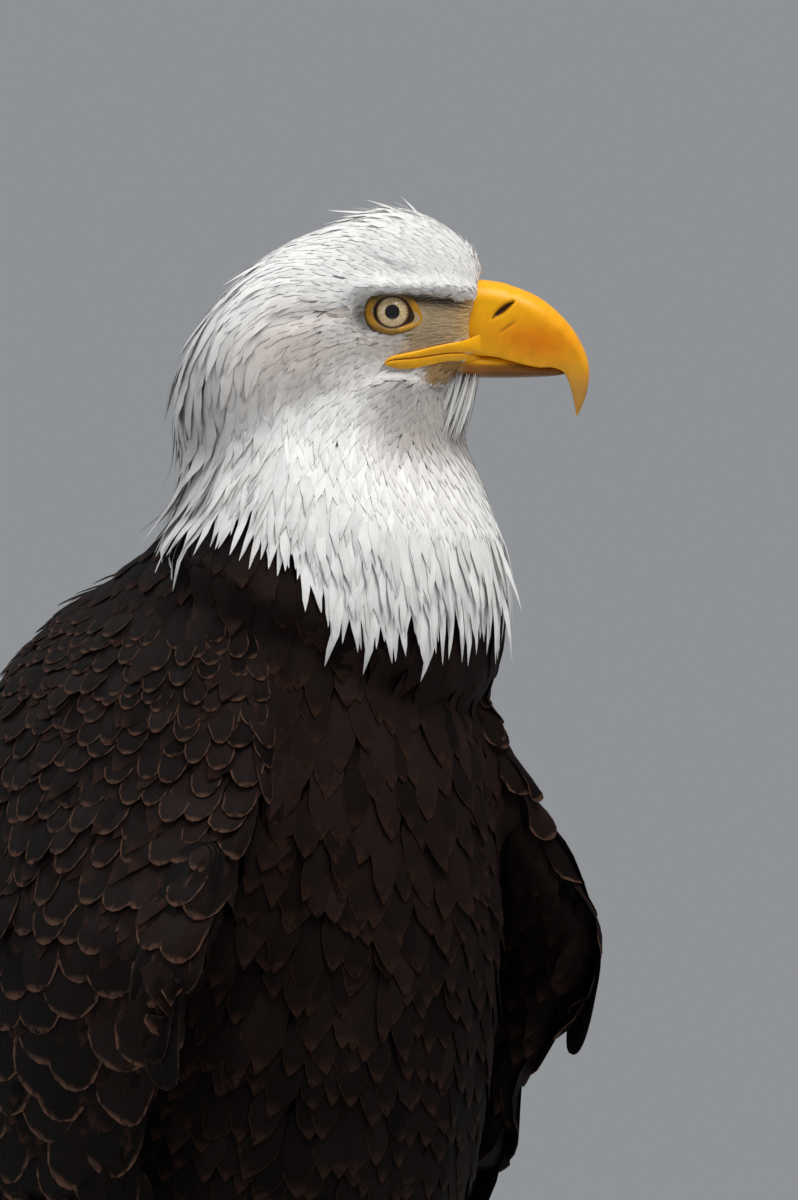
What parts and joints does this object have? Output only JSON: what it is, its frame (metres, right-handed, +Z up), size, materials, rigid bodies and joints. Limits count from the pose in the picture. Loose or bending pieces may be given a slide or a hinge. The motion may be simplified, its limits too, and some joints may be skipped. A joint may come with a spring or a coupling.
{
  "type": "bald eagle",
  "caption": "Adult bald eagle standing at rest, life size: head turned to its left, wings folded a little loose, white head and tail.",
  "frame": {"origin": "on the ground under the middle of the bird's box", "axes": "+Z up; the trunk faces -Y, the tail lies towards +Y, and the bird's left side is +X; the head is turned 45 degrees to +X"},
  "size_m": [0.2662, 0.4188, 0.7085],
  "materials": {
    "white_feather": "soft white feathers",
    "dark_feather": "dark chocolate brown feathers with paler edges",
    "flight_feather": "brown-black quills with a low sheen",
    "bill_horn": "satin yellow to orange horn, browner at the tip",
    "eye": "wet, pale cream iris with a black pupil",
    "foot_skin": "yellow scaled skin",
    "claw_horn": "polished black horn"
  },
  "bodies": {
    "root": {"trunk": "dark_feather", "neck": "white_feather", "head": "white_feather", "eye_left": "eye", "eye_right": "eye", "bill_upper": "bill_horn", "bill_lower": "bill_horn", "tail": "white_feather", "wing_left": "dark_feather", "wing_right": "dark_feather", "secondaries_left": "flight_feather", "secondaries_right": "flight_feather", "primaries_left": "flight_feather", "primaries_right": "flight_feather", "thigh_left": "dark_feather", "thigh_right": "dark_feather", "shank_left": "foot_skin", "shank_right": "foot_skin", "foot_left": "foot_skin", "foot_right": "foot_skin", "claw_inner_left": "claw_horn", "claw_inner_right": "claw_horn", "claw_middle_left": "claw_horn", "claw_middle_right": "claw_horn", "claw_outer_left": "claw_horn", "claw_outer_right": "claw_horn", "claw_hind_left": "claw_horn", "claw_hind_right": "claw_horn"}
  },
  "joints": []
}
